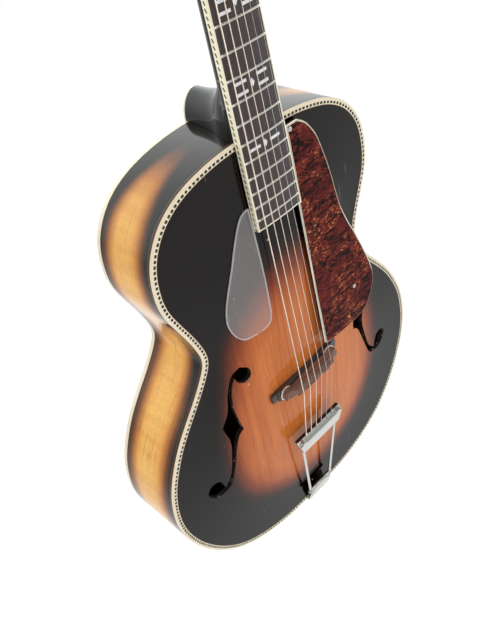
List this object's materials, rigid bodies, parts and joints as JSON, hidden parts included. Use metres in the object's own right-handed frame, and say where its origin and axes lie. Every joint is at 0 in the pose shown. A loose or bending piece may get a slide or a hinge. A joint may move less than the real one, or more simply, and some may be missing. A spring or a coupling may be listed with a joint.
{
  "type": "archtop guitar",
  "caption": "Carved arched-top acoustic guitar: f-holes, bound body, bound neck, floating bridge, trapeze tailpiece, open geared tuners and two guards.",
  "frame": {"origin": "the middle of the end pin's flat outer face, where a strap button or a foot rest meets it", "axes": "+Z along the body towards the headstock, -Y out of the carved top, +X to the treble side seen from in front"},
  "size_m": [0.395, 0.1251, 1.0381],
  "materials": {
    "spruce_top": "gloss sunburst lacquer over carved spruce",
    "maple_body": "gloss amber lacquer over figured maple",
    "bare_wood": "raw, unfinished inside the body",
    "ivory_binding": "polished cream celluloid",
    "black_lacquer": "gloss black lacquer over maple",
    "rosewood": "oiled, open grain",
    "bone": "polished bone",
    "nickel": "satin nickel plate, lightly worn",
    "steel": "plain steel",
    "bronze_wound": "bronze wound over steel",
    "pearl_button": "cream celluloid",
    "tortoise": "polished tortoise celluloid",
    "black_plastic": "polished black plastic",
    "clear_plastic": "clear, lightly scratched"
  },
  "bodies": {
    "root": {"top_plate": "spruce_top", "back_plate": "maple_body", "top_binding": "ivory_binding", "back_binding": "ivory_binding", "rib_bass": "maple_body", "rib_treble": "maple_body", "lining_top_bass": "bare_wood", "lining_top_treble": "bare_wood", "lining_back_bass": "bare_wood", "lining_back_treble": "bare_wood", "tone_bar_bass": "bare_wood", "tone_bar_treble": "bare_wood", "tail_block": "bare_wood", "neck_block": "bare_wood", "end_pin": "nickel", "neck": "black_lacquer", "fingerboard": "rosewood", "fingerboard_binding": "ivory_binding", "nut": "bone", "truss_rod": "steel", "heel_cap": "ivory_binding", "truss_rod_cover": "black_plastic", "tuner_plate_bass": "nickel", "tuner_plate_treble": "nickel", "bridge_base": "rosewood", "bridge_stud_bass": "nickel", "bridge_stud_treble": "nickel", "tailpiece_hinge_pin": "nickel", "tailpiece_bracket": "nickel", "pickguard": "tortoise", "pickguard_bracket": "nickel", "clear_guard": "clear_plastic", "string_1": "bronze_wound", "string_2": "bronze_wound", "string_3": "bronze_wound", "string_4": "bronze_wound", "string_5": "steel", "string_6": "steel"},
    "saddle": {"bridge_saddle": "rosewood"},
    "wheel_bass": {"thumbwheel_bass": "nickel"},
    "wheel_treble": {"thumbwheel_treble": "nickel"},
    "trapeze": {"tailpiece_trapeze": "nickel"},
    "key_bass_1": {"tuner_key_bass_1": "nickel", "tuner_button_bass_1": "pearl_button"},
    "post_bass_1": {"tuner_post_bass_1": "nickel"},
    "key_bass_2": {"tuner_key_bass_2": "nickel", "tuner_button_bass_2": "pearl_button"},
    "post_bass_2": {"tuner_post_bass_2": "nickel"},
    "key_bass_3": {"tuner_key_bass_3": "nickel", "tuner_button_bass_3": "pearl_button"},
    "post_bass_3": {"tuner_post_bass_3": "nickel"},
    "key_treble_1": {"tuner_key_treble_1": "nickel", "tuner_button_treble_1": "pearl_button"},
    "post_treble_1": {"tuner_post_treble_1": "nickel"},
    "key_treble_2": {"tuner_key_treble_2": "nickel", "tuner_button_treble_2": "pearl_button"},
    "post_treble_2": {"tuner_post_treble_2": "nickel"},
    "key_treble_3": {"tuner_key_treble_3": "nickel", "tuner_button_treble_3": "pearl_button"},
    "post_treble_3": {"tuner_post_treble_3": "nickel"}
  },
  "joints": [
    {"name": "key_turn_bass_1", "type": "hinge", "parent": "root", "child": "key_bass_1", "pos_m": [-0.024, 0.01243, 0.90138], "axis": [1, 0, 0], "continuous": true},
    {"name": "post_turn_bass_1", "type": "hinge", "parent": "root", "child": "post_bass_1", "pos_m": [-0.024, -0.00475, 0.91389], "axis": [0, 0.9557, -0.2944], "continuous": true},
    {"name": "key_turn_bass_2", "type": "hinge", "parent": "root", "child": "key_bass_2", "pos_m": [-0.024, 0.02294, 0.9355], "axis": [1, 0, 0], "continuous": true},
    {"name": "post_turn_bass_2", "type": "hinge", "parent": "root", "child": "post_bass_2", "pos_m": [-0.024, 0.00576, 0.94801], "axis": [0, 0.9557, -0.2944], "continuous": true},
    {"name": "key_turn_bass_3", "type": "hinge", "parent": "root", "child": "key_bass_3", "pos_m": [-0.024, 0.03345, 0.96962], "axis": [1, 0, 0], "continuous": true},
    {"name": "post_turn_bass_3", "type": "hinge", "parent": "root", "child": "post_bass_3", "pos_m": [-0.024, 0.01627, 0.98213], "axis": [0, 0.9557, -0.2944], "continuous": true},
    {"name": "key_turn_treble_1", "type": "hinge", "parent": "root", "child": "key_treble_1", "pos_m": [0.024, 0.01243, 0.90138], "axis": [1, 0, 0], "continuous": true},
    {"name": "post_turn_treble_1", "type": "hinge", "parent": "root", "child": "post_treble_1", "pos_m": [0.024, -0.00475, 0.91389], "axis": [0, 0.9557, -0.2944], "continuous": true},
    {"name": "key_turn_treble_2", "type": "hinge", "parent": "root", "child": "key_treble_2", "pos_m": [0.024, 0.02294, 0.9355], "axis": [1, 0, 0], "continuous": true},
    {"name": "post_turn_treble_2", "type": "hinge", "parent": "root", "child": "post_treble_2", "pos_m": [0.024, 0.00576, 0.94801], "axis": [0, 0.9557, -0.2944], "continuous": true},
    {"name": "key_turn_treble_3", "type": "hinge", "parent": "root", "child": "key_treble_3", "pos_m": [0.024, 0.03345, 0.96962], "axis": [1, 0, 0], "continuous": true},
    {"name": "post_turn_treble_3", "type": "hinge", "parent": "root", "child": "post_treble_3", "pos_m": [0.024, 0.01627, 0.98213], "axis": [0, 0.9557, -0.2944], "continuous": true},
    {"name": "saddle_lift", "type": "slide", "parent": "root", "child": "saddle", "axis": [0, -1, 0], "range_m": [0, 0.0028], "deforming": ["string_1", "string_2", "string_3", "string_4", "string_5", "string_6"]},
    {"name": "wheel_turn_bass", "type": "hinge", "parent": "saddle", "child": "wheel_bass", "pos_m": [-0.03496, -0.0423, 0.24054], "axis": [0, -1, 0], "range_deg": [0, 1261]},
    {"name": "wheel_turn_treble", "type": "hinge", "parent": "saddle", "child": "wheel_treble", "pos_m": [0.03496, -0.0423, 0.24384], "axis": [0, -1, 0], "range_deg": [0, 1261]},
    {"name": "tailpiece_swing", "type": "hinge", "parent": "root", "child": "trapeze", "pos_m": [0, -0.0503, 0.0355], "axis": [1, 0, 0], "range_deg": [0, 0.8]}
  ],
  "couplings": [
    {"joint": "post_turn_bass_1", "follows": "key_turn_bass_1", "ratio": 0.083333},
    {"joint": "post_turn_bass_2", "follows": "key_turn_bass_2", "ratio": 0.083333},
    {"joint": "post_turn_bass_3", "follows": "key_turn_bass_3", "ratio": 0.083333},
    {"joint": "post_turn_treble_1", "follows": "key_turn_treble_1", "ratio": 0.083333},
    {"joint": "post_turn_treble_2", "follows": "key_turn_treble_2", "ratio": 0.083333},
    {"joint": "post_turn_treble_3", "follows": "key_turn_treble_3", "ratio": 0.083333},
    {"joint": "wheel_turn_bass", "follows": "saddle_lift", "rad_per_m": 7854},
    {"joint": "wheel_turn_treble", "follows": "saddle_lift", "rad_per_m": 7854}
  ]
}
